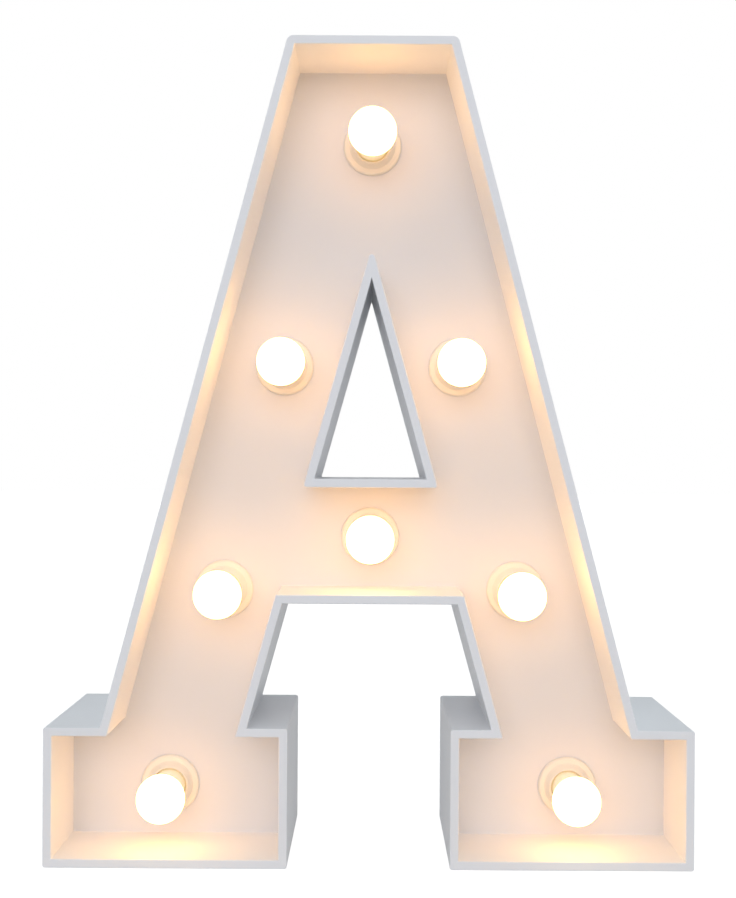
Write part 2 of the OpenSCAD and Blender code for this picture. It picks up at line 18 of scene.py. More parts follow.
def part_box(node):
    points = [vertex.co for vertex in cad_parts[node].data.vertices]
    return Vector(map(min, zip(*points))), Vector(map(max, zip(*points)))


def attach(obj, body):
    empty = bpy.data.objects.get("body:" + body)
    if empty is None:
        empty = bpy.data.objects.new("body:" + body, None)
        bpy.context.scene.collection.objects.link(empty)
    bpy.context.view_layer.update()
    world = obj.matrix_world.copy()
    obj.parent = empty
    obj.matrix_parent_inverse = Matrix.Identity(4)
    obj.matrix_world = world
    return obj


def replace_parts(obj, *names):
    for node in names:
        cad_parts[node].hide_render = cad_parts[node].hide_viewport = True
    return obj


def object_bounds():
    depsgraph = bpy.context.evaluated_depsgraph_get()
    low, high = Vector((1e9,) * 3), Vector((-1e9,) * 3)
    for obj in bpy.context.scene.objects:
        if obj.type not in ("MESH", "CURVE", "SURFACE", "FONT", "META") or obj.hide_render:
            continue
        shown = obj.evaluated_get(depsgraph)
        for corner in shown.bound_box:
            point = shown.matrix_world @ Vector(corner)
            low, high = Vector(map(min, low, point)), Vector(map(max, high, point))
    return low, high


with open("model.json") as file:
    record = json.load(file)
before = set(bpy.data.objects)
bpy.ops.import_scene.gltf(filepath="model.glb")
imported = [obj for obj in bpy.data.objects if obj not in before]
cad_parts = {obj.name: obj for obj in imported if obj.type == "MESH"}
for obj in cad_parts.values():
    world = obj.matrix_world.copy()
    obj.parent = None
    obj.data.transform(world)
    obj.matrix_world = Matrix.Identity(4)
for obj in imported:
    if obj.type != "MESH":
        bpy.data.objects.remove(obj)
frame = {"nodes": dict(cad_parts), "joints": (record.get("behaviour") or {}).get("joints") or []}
cad_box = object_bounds()

LOG = logging.getLogger("letter")
MM = 0.001
IMAGE_W = 736
IMAGE_H = 898
BULBS = range(1, 9)
SHARP_ANGLE = math.radians(32)
FLAT_ANGLE = math.radians(0.4)
FLAT_WEIGHT = 90
MERGE_REACH = 0.002 * MM
ARRIS_STEPS = 2
FRONT = Vector((0.0, -1.0, 0.0))
REAR = Vector((0.0, 1.0, 0.0))
WHITE = (1.0, 1.0, 1.0, 1.0)

Colour = tuple[float, float, float]
Place = tuple[float, float, float]
Span = tuple[float, float]
Profile = list[tuple[float, float]]


class Body(Enum):
    """The bodies of the part that pieces ride on."""

    LETTER = "letter"
    DOOR = "battery_door"
    SLIDER = "switch_slider"


class Slot(Enum):
    """The record's material slots, listed beside the new pieces but not given to them."""

    SHELL = "shell_plastic"
    COVER = "cover_plastic"
    HOLDER = "holder_plastic"
    GLOBE = "globe_plastic"
    CONTACT = "contact_steel"
    SCREW = "screw_steel"
    CELL = "cell_jacket"
    CASE = "switch_case"
    KNOB = "switch_knob"
    BLACK = "black_lead"
    RED = "red_lead"


class Socket:
    """One output of a node graph, which Python's operators combine through Math nodes."""

    def __init__(self, graph: "Graph", output: bpy.types.NodeSocket) -> None:
        """Keeps the output and the graph that it belongs to."""
        self.graph = graph
        self.output = output

    def math(self, operation: str, first: "Socket | float", second: "Socket | float") -> "Socket":
        """Adds one Math node.

        Args:
            operation: The node's operation.
            first: The value of its first socket.
            second: The value of its second socket.

        Returns:
            The node's result.
        """
        return self.graph.node("ShaderNodeMath", {"operation": operation}, {0: first, 1: second})

    def __add__(self, other: "Socket | float") -> "Socket":
        """Sum of two values."""
        return self.math("ADD", self, other)

    __radd__ = __add__

    def __sub__(self, other: "Socket | float") -> "Socket":
        """This value less another."""
        return self.math("SUBTRACT", self, other)

    def __rsub__(self, other: "Socket | float") -> "Socket":
        """Another value less this one."""
        return self.math("SUBTRACT", other, self)

    def __mul__(self, other: "Socket | float") -> "Socket":
        """Product of two values."""
        return self.math("MULTIPLY", self, other)

    __rmul__ = __mul__

    def __truediv__(self, other: "Socket | float") -> "Socket":
        """This value over another."""
        return self.math("DIVIDE", self, other)

    def __rtruediv__(self, other: "Socket | float") -> "Socket":
        """Another value over this one."""
        return self.math("DIVIDE", other, self)

    def step(self, low: float, high: float) -> "Socket":
        """Smooth rise from 0 at the low value to 1 at the high one.

        Args:
            low: Where the rise starts.
            high: Where it ends.

        Returns:
            The eased value, held between 0 and 1.
        """
        ends = {"Value": self, "From Min": low, "From Max": high}
        return self.graph.node("ShaderNodeMapRange", {"interpolation_type": "SMOOTHSTEP"}, ends)


class Graph:
    """A node graph that is built from calls, with one shader at its end."""

    def __init__(self, tree: bpy.types.NodeTree, end: str = "ShaderNodeOutputMaterial") -> None:
        """Empties the tree and adds its end node.

        Args:
            tree: The tree to fill.
            end: The type of the end node.
        """
        tree.nodes.clear()
        self.tree = tree
        self.end = tree.nodes.new(end)

    def node(
        self,
        kind: str,
        settings: dict[str, Any] | None = None,
        values: dict[int | str, Any] | None = None,
        output: int | str = 0,
    ) -> Socket:
        """Adds a node: its settings first, then the values or links of its sockets.

        Args:
            kind: The node's type.
            settings: Attributes of the node, such as its operation.
            values: Socket name or number to a value or to another node's output.
            output: The output to hand on.

        Returns:
            That output.
        """
        made = self.tree.nodes.new(kind)
        for name, value in (settings or {}).items():
            setattr(made, name, value)
        for key, value in (values or {}).items():
            if isinstance(value, Socket):
                self.tree.links.new(value.output, made.inputs[key])
            else:
                made.inputs[key].default_value = value
        return Socket(self, made.outputs[output])

    def close(self, shader: Socket) -> None:
        """Links a shader to the end node."""
        self.tree.links.new(shader.output, self.end.inputs["Surface"])

    def surface(self, values: dict[int | str, Any]) -> None:
        """Ends the graph with a Principled shader.

        Args:
            values: Socket name to a value or to another node's output.
        """
        self.close(self.node("ShaderNodeBsdfPrincipled", None, values))

    def vector_math(
        self,
        operation: str,
        first: Socket,
        second: Socket | Vector | Place = (0.0, 0.0, 0.0),
        output: str = "Vector",
    ) -> Socket:
        """Adds one Vector Math node.

        Args:
            operation: The node's operation.
            first: The value of its first socket.
            second: The value of its second socket.
            output: Vector, or Value where the result is a number.

        Returns:
            The node's result.
        """
        other = second if isinstance(second, Socket) else tuple(second)
        return self.node("ShaderNodeVectorMath", {"operation": operation}, {0: first, 1: other}, output)

    def facing(self, coordinate: str) -> Socket:
        """How far a direction from the coordinate node points to the front, from -1 to 1."""
        direction = self.node("ShaderNodeTexCoord", output=coordinate)
        return self.vector_math("DOT_PRODUCT", direction, FRONT, "Value")

    def place(self) -> Socket:
        """Position in the piece's own frame, in metres."""
        return self.node("ShaderNodeTexCoord", output="Object")

    def depth(self, level: float) -> Socket:
        """Distance behind a level of the part's depth, in metres."""
        return self.axis(REAR, REAR * level)

    def axis(self, direction: Vector, origin: Vector) -> Socket:
        """Distance along a direction.

        Args:
            direction: A unit vector.
            origin: The point where the distance is 0.

        Returns:
            The distance in metres.
        """
        from_origin = self.vector_math("SUBTRACT", self.place(), origin)
        return self.vector_math("DOT_PRODUCT", from_origin, direction, "Value")

    def radius(self, direction: Vector, origin: Vector) -> Socket:
        """Distance from a line.

        Args:
            direction: The line's direction.
            origin: A point on it.

        Returns:
            The distance in metres.
        """
        from_origin = self.vector_math("SUBTRACT", self.place(), origin)
        along = self.vector_math("PROJECT", from_origin, direction)
        across = self.vector_math("SUBTRACT", from_origin, along)
        return self.vector_math("LENGTH", across, output="Value")

    def noise(self, size: float, detail: float, stretch: Place = (1.0, 1.0, 1.0)) -> Socket:
        """Noise with features of about a given size.

        Args:
            size: The size of a feature, in metres.
            detail: The number of finer octaves.
            stretch: How much longer features are along each axis.

        Returns:
            A value that mostly lies between 0.3 and 0.7.
        """
        scaled = tuple(1.0 / (size * s) for s in stretch)
        where = self.vector_math("MULTIPLY", self.place(), scaled)
        return self.node("ShaderNodeTexNoise", None, {"Vector": where, "Scale": 1.0, "Detail": detail})

    def mix(self, factor: Socket | float, first: Socket | Colour, second: Socket | Colour) -> Socket:
        """Blend of two colours.

        Args:
            factor: 0 for the first colour, 1 for the second.
            first: One colour.
            second: The other colour.

        Returns:
            The blended colour.
        """
        a, b = (c if isinstance(c, Socket) else (*c, 1.0) for c in (first, second))
        return self.node("ShaderNodeMix", {"data_type": "RGBA"}, {"Factor": factor, 6: a, 7: b}, 2)

    def bump(self, height: Socket, depth: float) -> Socket:
        """Normal of a surface with fine relief.

        Args:
            height: The relief, from 0 to 1.
            depth: Its depth in metres.

        Returns:
            The bent normal.
        """
        return self.node("ShaderNodeBump", None, {"Strength": 1.0, "Distance": depth, "Height": height})


def new_material(name: str) -> tuple[bpy.types.Material, Graph]:
    """Makes an empty material.

    Args:
        name: The material's name.

    Returns:
        The material and its graph.
    """
    material = bpy.data.materials.new(name)
    material.use_nodes = True
    return material, Graph(material.node_tree)


@dataclass(frozen=True)
class MouldedPlastic:
    """Injection-moulded plastic: slow drift of tint, spark-eroded grain, faint handling marks and painted
    shade in its corners.
    """

    name: str
    colour: Colour
    drift: Colour
    roughness: float
    gloss: float = 0.2
    ior: float = 1.49
    drift_size: float = 28.0 * MM
    drift_span: Span = (0.35, 0.65)
    grain: float = 0.45 * MM
    grain_depth: float = 0.006 * MM
    grain_dulls: float = 0.1
    ripple: float = 6.0 * MM
    ripple_depth: float = 0.01 * MM
    rub: float = 3.0 * MM
    rub_stretch: Place = (0.25, 1.0, 3.0)
    rub_span: Span = (0.62, 0.8)
    rub_dulls: float = 0.08
    corner: float = 1.6 * MM
    painted_corner_shade: float = 0.96
    corner_clear: float = 0.7

    def tint(self, graph: Graph) -> Socket:
        """Colour with its slow drift."""
        patches = graph.noise(self.drift_size, 3.0).step(*self.drift_span)
        return graph.mix(patches, self.colour, self.drift)

    def material(self) -> bpy.types.Material:
        """Builds the material."""
        material, graph = new_material(self.name)
        fine = graph.noise(self.grain, 3.0)
        waves = graph.noise(self.ripple, 1.0)
        rubbed = graph.noise(self.rub, 4.0, self.rub_stretch).step(*self.rub_span)
        # Painted shade: the base colour darkens where the ambient-occlusion node finds the surface hemmed in
        # by corners and creases.
        open_share = graph.node(
            "ShaderNodeAmbientOcclusion", {"samples": 8, "only_local": True}, {"Distance": self.corner}, "AO"
        )
        shade = tuple(c * self.painted_corner_shade for c in self.colour)
        relief = fine * self.grain_depth + waves * self.ripple_depth
        graph.surface(
            {
                "Base Color": graph.mix(open_share.step(0.0, self.corner_clear), shade, self.tint(graph)),
                "Roughness": self.roughness + self.grain_dulls * (fine - 0.5) + self.rub_dulls * rubbed,
                "IOR": self.ior,
                "Specular IOR Level": self.gloss,
                "Normal": graph.bump(relief / MM, MM),
            }
        )
        return material


@dataclass(frozen=True)
class TrayPlastic(MouldedPlastic):
    """Moulded plastic of an open tray, with painted shade on its recessed panel: a darker, cooler tone than
    the walls of the same plastic.
    """

    painted_panel_shade: Colour = (0.675, 0.695, 0.73)
    panel_y: float = 0.2 * MM
    panel_edge: float = 0.5 * MM
    panel_facing: Span = (0.5, 0.9)

    def tint(self, graph: Graph) -> Socket:
        """Colour with its slow drift, and painted shade where the recessed panel lies and faces the front.
        """
        depth = graph.depth(self.panel_y)
        level = depth.step(-self.panel_edge, 0.0) * (1 - depth.step(0.0, self.panel_edge))
        share = level * graph.facing("Normal").step(*self.panel_facing)
        # Painted shade: the recessed panel takes a darker tone than the same white plastic of the walls.
        return graph.mix(share, super().tint(graph), self.painted_panel_shade)


@dataclass(frozen=True)
class LitGlobe:
    """Frosted plastic lit from inside: hottest round its front, warmer at the rear, with a dim neck."""

    name: str
    tip: Colour
    side: Colour
    rear: Colour
    neck: Colour
    strength: float
    pole_y: float
    foot_y: float
    join: float
    tip_ends: float = 0.25
    rear_span: Span = (0.5, 0.95)
    neck_blur: float = 0.03
    frost: float = 0.5 * MM
    frost_depth: float = 0.008 * MM
    frost_thin: Colour = (0.9, 0.87, 0.8)
    frost_thick: Colour = (0.96, 0.94, 0.9)
    roughness: float = 0.42
    frost_dulls: float = 0.12

    def material(self) -> bpy.types.Material:
        """Builds the material."""
        material, graph = new_material(self.name)
        depth = graph.depth(self.pole_y) / (self.foot_y - self.pole_y)
        frost = graph.noise(self.frost, 3.0)
        rear_from, rear_to = (share * self.join for share in self.rear_span)
        front = graph.mix(depth.step(0.0, self.tip_ends * self.join), self.tip, self.side)
        ball = graph.mix(depth.step(rear_from, rear_to), front, self.rear)
        at_neck = depth.step(self.join - self.neck_blur, self.join + self.neck_blur)
        graph.surface(
            {
                "Base Color": graph.mix(frost, self.frost_thin, self.frost_thick),
                "Roughness": self.roughness + self.frost_dulls * (frost - 0.5),
                "Emission Color": graph.mix(at_neck, ball, self.neck),
                "Emission Strength": self.strength,
                "Normal": graph.bump(frost, self.frost_depth),
            }
        )
        return material


@dataclass(frozen=True)
class PlatedMetal:
    """Plated steel with fine drawn scratches and dull patches."""

    name: str
    colour: Colour
    dull: Colour
    roughness: float
    scratch: float = 0.12 * MM
    scratch_stretch: Place = (14.0, 1.0, 1.0)
    scratch_depth: float = 0.004 * MM
    scratch_dulls: float = 0.12
    patch: float = 2.2 * MM
    patch_span: Span = (0.42, 0.66)
    patch_dulls: float = 0.18

    def material(self) -> bpy.types.Material:
        """Builds the material."""
        material, graph = new_material(self.name)
        lines = graph.noise(self.scratch, 2.0, self.scratch_stretch)
        patches = graph.noise(self.patch, 3.0).step(*self.patch_span)
        roughness = self.roughness + self.patch_dulls * patches + self.scratch_dulls * (lines - 0.5)
        graph.surface(
            {
                "Base Color": graph.mix(patches, self.colour, self.dull),
                "Metallic": 1.0,
                "Roughness": roughness,
                "Normal": graph.bump(lines, self.scratch_depth),
            }
        )
        return material


@dataclass(frozen=True)
class CellJacket:
    """Plain shrink film on a cell: a light band at the plus end, bare metal inside both end rims."""

    name: str
    film: Colour
    band: Colour
    metal: Colour
    direction: Vector
    foot: Vector
    band_from: float
    bare_r: float
    edge: float = 0.1 * MM
    roughness: float = 0.26
    grime: float = 1.6 * MM
    grime_depth: float = 0.01 * MM
    grime_darkens: float = 0.12
    grime_dulls: float = 0.14

    def material(self) -> bpy.types.Material:
        """Builds the material."""
        material, graph = new_material(self.name)
        along = graph.axis(self.direction, self.foot)
        banded = along.step(self.band_from, self.band_from + self.edge)
        bare = 1 - graph.radius(self.direction, self.foot).step(self.bare_r - self.edge, self.bare_r)
        grime = graph.noise(self.grime, 3.0)
        film = graph.mix(banded, self.film, self.band)
        worn = graph.mix(self.grime_darkens * grime, film, (0.0, 0.0, 0.0))
        graph.surface(
            {
                "Base Color": graph.mix(bare, worn, self.metal),
                "Metallic": bare,
                "Roughness": self.roughness + self.grime_dulls * grime,
                "Normal": graph.bump(grime, self.grime_depth),
            }
        )
        return material


@dataclass(frozen=True)
class SoftInsulation:
    """Soft extruded insulation with a dull bloom."""

    name: str
    colour: Colour
    bloom: Colour
    roughness: float = 0.4
    patch: float = 3.0 * MM
    patch_depth: float = 0.02 * MM
    patch_span: Span = (0.4, 0.75)
    patch_dulls: float = 0.2

    def material(self) -> bpy.types.Material:
        """Builds the material."""
        material, graph = new_material(self.name)
        patches = graph.noise(self.patch, 4.0)
        graph.surface(
            {
                "Base Color": graph.mix(patches.step(*self.patch_span), self.colour, self.bloom),
                "Roughness": self.roughness + self.patch_dulls * patches,
                "Normal": graph.bump(patches, self.patch_depth),
            }
        )
        return material


@dataclass(frozen=True)
class ClearEpoxy:
    """Cast epoxy of an LED with a warm phosphor tint."""

    name: str
    colour: Colour
    cloud: Colour
    cloud_size: float = 1.2 * MM
    cloud_dulls: float = 0.1
    roughness: float = 0.12
    ior: float = 1.53
    clear_share: float = 0.5

    def material(self) -> bpy.types.Material:
        """Builds the material."""
        material, graph = new_material(self.name)
        cloud = graph.noise(self.cloud_size, 2.0)
        graph.surface(
            {
                "Base Color": graph.mix(cloud, self.colour, self.cloud),
                "Roughness": self.roughness + self.cloud_dulls * cloud,
                "IOR": self.ior,
                "Transmission Weight": self.clear_share,
            }
        )
        return material


@dataclass(frozen=True)
class ThumbedKnob:
    """Dark moulded knob whose crown is rubbed by thumbs."""

    name: str
    colour: Colour
    worn: Colour
    crown_y: float
    worn_depth: float = 0.2 * MM
    roughness: float = 0.46
    rub: float = 0.8 * MM
    rub_depth: float = 0.01 * MM
    rub_span: Span = (0.3, 0.6)
    rub_dulls: float = 0.1
    wear_shines: float = 0.16

    def material(self) -> bpy.types.Material:
        """Builds the material."""
        material, graph = new_material(self.name)
        rub = graph.noise(self.rub, 3.0)
        crown = graph.depth(self.crown_y).step(-self.worn_depth, 0.0) * rub.step(*self.rub_span)
        graph.surface(
            {
                "Base Color": graph.mix(crown, self.colour, self.worn),
                "Roughness": self.roughness - self.wear_shines * crown + self.rub_dulls * (rub - 0.5),
                "Normal": graph.bump(rub, self.rub_depth),
            }
        )
        return material


SHELL = TrayPlastic("satin_white_shell", (0.86, 0.87, 0.895), (0.845, 0.855, 0.88), 0.46)
COVER = MouldedPlastic(
    "grained_white_cover", (0.69, 0.70, 0.72), (0.665, 0.677, 0.7), 0.55, grain_depth=0.014 * MM
)
HOLDER = MouldedPlastic("warm_ivory_holder", (0.8, 0.785, 0.72), (0.785, 0.765, 0.7), 0.42, corner=0.6 * MM)
CONTACT = PlatedMetal("nickel_contact", (0.72, 0.70, 0.66), (0.55, 0.53, 0.5), 0.26)
SCREW = PlatedMetal("zinc_screw", (0.66, 0.67, 0.69), (0.5, 0.5, 0.52), 0.3)
CASE = PlatedMetal("pressed_steel_case", (0.6, 0.6, 0.61), (0.46, 0.46, 0.47), 0.34)
EPOXY = ClearEpoxy("warm_led_epoxy", (1.0, 0.88, 0.6), (0.95, 0.8, 0.45))
BLACK = SoftInsulation("black_insulation", (0.012, 0.012, 0.013), (0.05, 0.05, 0.052))
RED = SoftInsulation("red_insulation", (0.5, 0.022, 0.018), (0.58, 0.08, 0.06))


def dress(piece: bpy.types.Object, body: Body, material: bpy.types.Material) -> None:
    """Gives a new piece its finish and the body that it rides on.

    Args:
        piece: The piece, in place in the part's frame.
        body: The body that carries it.
        material: The finish.
    """
    piece.data.materials.clear()
    piece.data.materials.append(material)
    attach(piece, body.value)
    LOG.info("%s rides on %s", piece.name, body.value)


def paint_node(node: str, material: bpy.types.Material) -> None:
    """Gives a node that keeps its own shape a better finish.

    Args:
        node: The node's name.
        material: The finish.
    """
    for own in frame["nodes"][node].material_slots:
        own.material = material
    LOG.info("%s keeps its own shape", node)


def new_object(name: str, data: bpy.types.ID) -> bpy.types.Object:
    """Links a new object to the scene.

    Args:
        name: The object's name.
        data: Its mesh, curve, lamp or camera.

    Returns:
        The object.
    """
    made = bpy.data.objects.new(name, data)
    bpy.context.scene.collection.objects.link(made)
    return made


def merged(node: str) -> bmesh.types.BMesh:
    """Copies a node's mesh with its split corners joined and its flat areas cleaned.

    Args:
        node: The node's name.

    Returns:
        The copy, which the caller frees.
    """
    mesh = bmesh.new()
    mesh.from_mesh(frame["nodes"][node].data)
    bmesh.ops.remove_doubles(mesh, verts=mesh.verts, dist=MERGE_REACH)
    bmesh.ops.dissolve_limit(
        mesh, angle_limit=FLAT_ANGLE, verts=mesh.verts, edges=mesh.edges, delimit={"NORMAL"}
    )
    return mesh


def loose_parts(mesh: bmesh.types.BMesh) -> list[set[bmesh.types.BMVert]]:
    """Groups a mesh's corners by what hangs together.

    Args:
        mesh: The mesh.

    Returns:
        One set of corners for each separate part.
    """
    left = set(mesh.verts)
    parts = []
    while left:
        part: set[bmesh.types.BMVert] = set()
        edge = [left.pop()]
        while edge:
            here = edge.pop()
            part.add(here)
            near = {e.other_vert(here) for e in here.link_edges} & left
            left -= near
            edge.extend(near)
        parts.append(part)
    return parts


def to_object(name: str, mesh: bmesh.types.BMesh) -> bpy.types.Object:
    """Turns a working mesh into a smooth-shaded object and frees it.

    Args:
        name: The object's name.
        mesh: The working mesh.

    Returns:
        The object.
    """
    for face in mesh.faces:
        face.smooth = True
    data = bpy.data.meshes.new(name)
    mesh.to_mesh(data)
    mesh.free()
    return new_object(name, data)


def soften(piece: bpy.types.Object, arris: float) -> None:
    """Rounds a piece's sharp edges.

    Args:
        piece: The piece.
        arris: The radius of the rounding.
    """
    bevel = piece.modifiers.new("soft_arris", "BEVEL")
    bevel.width = arris
    bevel.segments = ARRIS_STEPS
    bevel.limit_method = "ANGLE"
    bevel.angle_limit = SHARP_ANGLE
    bevel.use_clamp_overlap = False
    bevel.loop_slide = False
    weighted = piece.modifiers.new("flat_faces", "WEIGHTED_NORMAL")
    weighted.weight = FLAT_WEIGHT
    weighted.keep_sharp = True


def softened_copy(node: str, arris: float) -> bpy.types.Object:
    """Makes the piece that stands for a moulded or pressed node, with rounded edges.

    Args:
        node: The node's name.
        arris: The radius of its edges.

    Returns:
        The piece.
    """
    piece = to_object(f"{node}_soft", merged(node))
    soften(piece, arris)
    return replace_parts(piece, node)


def lathe(name: str, profile: Profile, foot: Vector, way: Vector, sides: int = 64) -> bpy.types.Object:
    """Turns a profile about an axis.

    Args:
        name: The object's name.
        profile: Radius and height above the foot, from the foot upwards; a radius of 0 closes it.
        foot: The point where the height is 0.
        way: The direction of the axis.
        sides: The number of faces round it.

    Returns:
        The turned object.
    """
    mesh = bmesh.new()
    side = way.orthogonal().normalized()
    angles = [2 * math.pi * k / sides for k in range(sides)]
    spokes = [math.cos(a) * side + math.sin(a) * way.cross(side) for a in angles]
    rings = []
    for radius, height in profile:
        spots = spokes if radius > 0 else [Vector()]
        rings.append([mesh.verts.new(foot + way * height + spoke * radius) for spoke in spots])
    for low, high in zip(rings, rings[1:]):
        for k in range(sides):
            corners = [low[k], low[(k + 1) % sides]] if len(low) > 1 else [low[0]]
            corners += [high[(k + 1) % sides], high[k]] if len(high) > 1 else [high[0]]
            mesh.faces.new(corners)
    if len(rings[0]) > 1:
        mesh.faces.new(rings[0])
    bmesh.ops.recalc_face_normals(mesh, faces=mesh.faces)
    turned = to_object(name, mesh)
    turned.data.set_sharp_from_angle(angle=SHARP_ANGLE)
    return turned


@dataclass
class Housing:
    """The moulded letter shell."""

    arris: float = 0.22 * MM

    def build(self) -> None:
        """Makes the shell with rounded arrises."""
        shell = softened_copy("letter_shell", self.arris)
        dress(shell, Body.LETTER, SHELL.material())


@dataclass
class Bulbs:
    """The globes, their holders and the LEDs inside them."""

    neck_r: float = 4.4 * MM
    fillet_r: float = 0.4 * MM
    arc_steps: int = 20
    fillet_steps: int = 5
    holder_arris: float = 0.12 * MM
    tip_glow: Colour = (0.87, 0.72, 0.35)
    side_glow: Colour = (1.0, 0.557, 0.158)
    rear_glow: Colour = (0.84, 0.33, 0.06)
    neck_glow: Colour = (0.031, 0.02, 0.006)
    strength: float = 8.1

    def globe_profile(self, radius: float, centre: float) -> Profile:
        """Works out a globe's outline: neck, fillet and ball.

        Args:
            radius: The ball's radius.
            centre: The height of its centre above the neck's foot.

        Returns:
            Radius and height pairs from the neck's foot to the tip.
        """
        reach = radius + self.fillet_r
        side = self.neck_r + self.fillet_r
        fillet_h = centre - math.sqrt(reach**2 - side**2)
        meet = math.atan2(fillet_h - centre, side)
        points = [(self.neck_r, 0.0)]
        for k in range(self.fillet_steps + 1):
            angle = math.pi + meet * k / self.fillet_steps
            across = side + self.fillet_r * math.cos(angle)
            points.append((across, fillet_h + self.fillet_r * math.sin(angle)))
        for k in range(1, self.arc_steps):
            angle = meet + (math.pi / 2 - meet) * k / self.arc_steps
            points.append((radius * math.cos(angle), centre + radius * math.sin(angle)))
        points.append((0.0, centre + radius))
        return points

    def build(self) -> None:
        """Makes every bulb."""
        low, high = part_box("bulb_globe_1")
        radius = (high.x - low.x) / 2
        join = (radius + math.sqrt(radius**2 - self.neck_r**2)) / (high.y - low.y)
        colours = (self.tip_glow, self.side_glow, self.rear_glow, self.neck_glow)
        glow = LitGlobe("lit_frosted_globe", *colours, self.strength, low.y, high.y, join).material()
        holder_finish = HOLDER.material()
        epoxy = EPOXY.material()
        for i in BULBS:
            self.build_globe(i, glow)
            holder = softened_copy(f"bulb_holder_{i}", self.holder_arris)
            dress(holder, Body.LETTER, holder_finish)
            paint_node(f"led_{i}", epoxy)

    def build_globe(self, i: int, glow: bpy.types.Material) -> None:
        """Makes one globe over its node.

        Args:
            i: The bulb's number.
            glow: Its finish.
        """
        node = f"bulb_globe_{i}"
        low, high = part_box(node)
        radius = (high.x - low.x) / 2
        foot = Vector(((low.x + high.x) / 2, high.y, (low.z + high.z) / 2))
        profile = self.globe_profile(radius, high.y - low.y - radius)
        globe = lathe(f"frosted_globe_{i}", profile, foot, FRONT)
        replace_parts(globe, node)
        dress(globe, Body.LETTER, glow)


@dataclass
class Back:
    """The back cover with its screws and door, and the slide switch behind it."""

    cover_arris: float = 0.1 * MM
    door_arris: float = 0.1 * MM
    screw_arris: float = 0.05 * MM
    small_arris: float = 0.06 * MM
    knob_ribs: int = 4
    rib_share: float = 0.55
    rib_h: float = 0.24 * MM
    rib_sink: float = 0.1 * MM
    knob_colour: Colour = (0.025, 0.025, 0.028)
    knob_worn: Colour = (0.07, 0.07, 0.075)

    def build(self) -> None:
        """Makes the pieces of the back."""
        self.build_knob()
        plastic = COVER.material()
        for node, arris, body, slot, finish in (
            ("back_cover", self.cover_arris, Body.LETTER, Slot.COVER, plastic),
            ("battery_door", self.door_arris, Body.DOOR, Slot.COVER, plastic),
            ("cover_screws", self.screw_arris, Body.LETTER, Slot.SCREW, SCREW.material()),
            ("switch_body", self.small_arris, Body.LETTER, Slot.CASE, CASE.material()),
            ("switch_terminals", self.small_arris, Body.LETTER, Slot.CONTACT, CONTACT.material()),
        ):
            dress(softened_copy(node, arris), body, finish)

    def build_knob(self) -> None:
        """Makes the slider with grip ribs across the crown of its knob."""
        mesh = merged("switch_slider")
        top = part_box("switch_slider")[1].y
        crown = [v.co for v in mesh.verts if top - v.co.y < self.small_arris]
        x0, x1 = min(c.x for c in crown), max(c.x for c in crown)
        z0, z1 = min(c.z for c in crown), max(c.z for c in crown)
        pitch = (x1 - x0) / self.knob_ribs
        size = Vector((pitch * self.rib_share, self.rib_h + self.rib_sink, z1 - z0 - pitch))
        for k in range(self.knob_ribs):
            middle = Vector((x0 + pitch * (k + 0.5), top + (self.rib_h - self.rib_sink) / 2, (z0 + z1) / 2))
            bmesh.ops.create_cube(mesh, matrix=Matrix.Translation(middle) @ Matrix.Diagonal((*size, 1.0)))
        knob = to_object("switch_slider_ribbed", mesh)
        soften(knob, self.small_arris)
        finish = ThumbedKnob("dark_knob", self.knob_colour, self.knob_worn, top + self.rib_h)
        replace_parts(knob, "switch_slider")
        dress(knob, Body.SLIDER, finish.material())


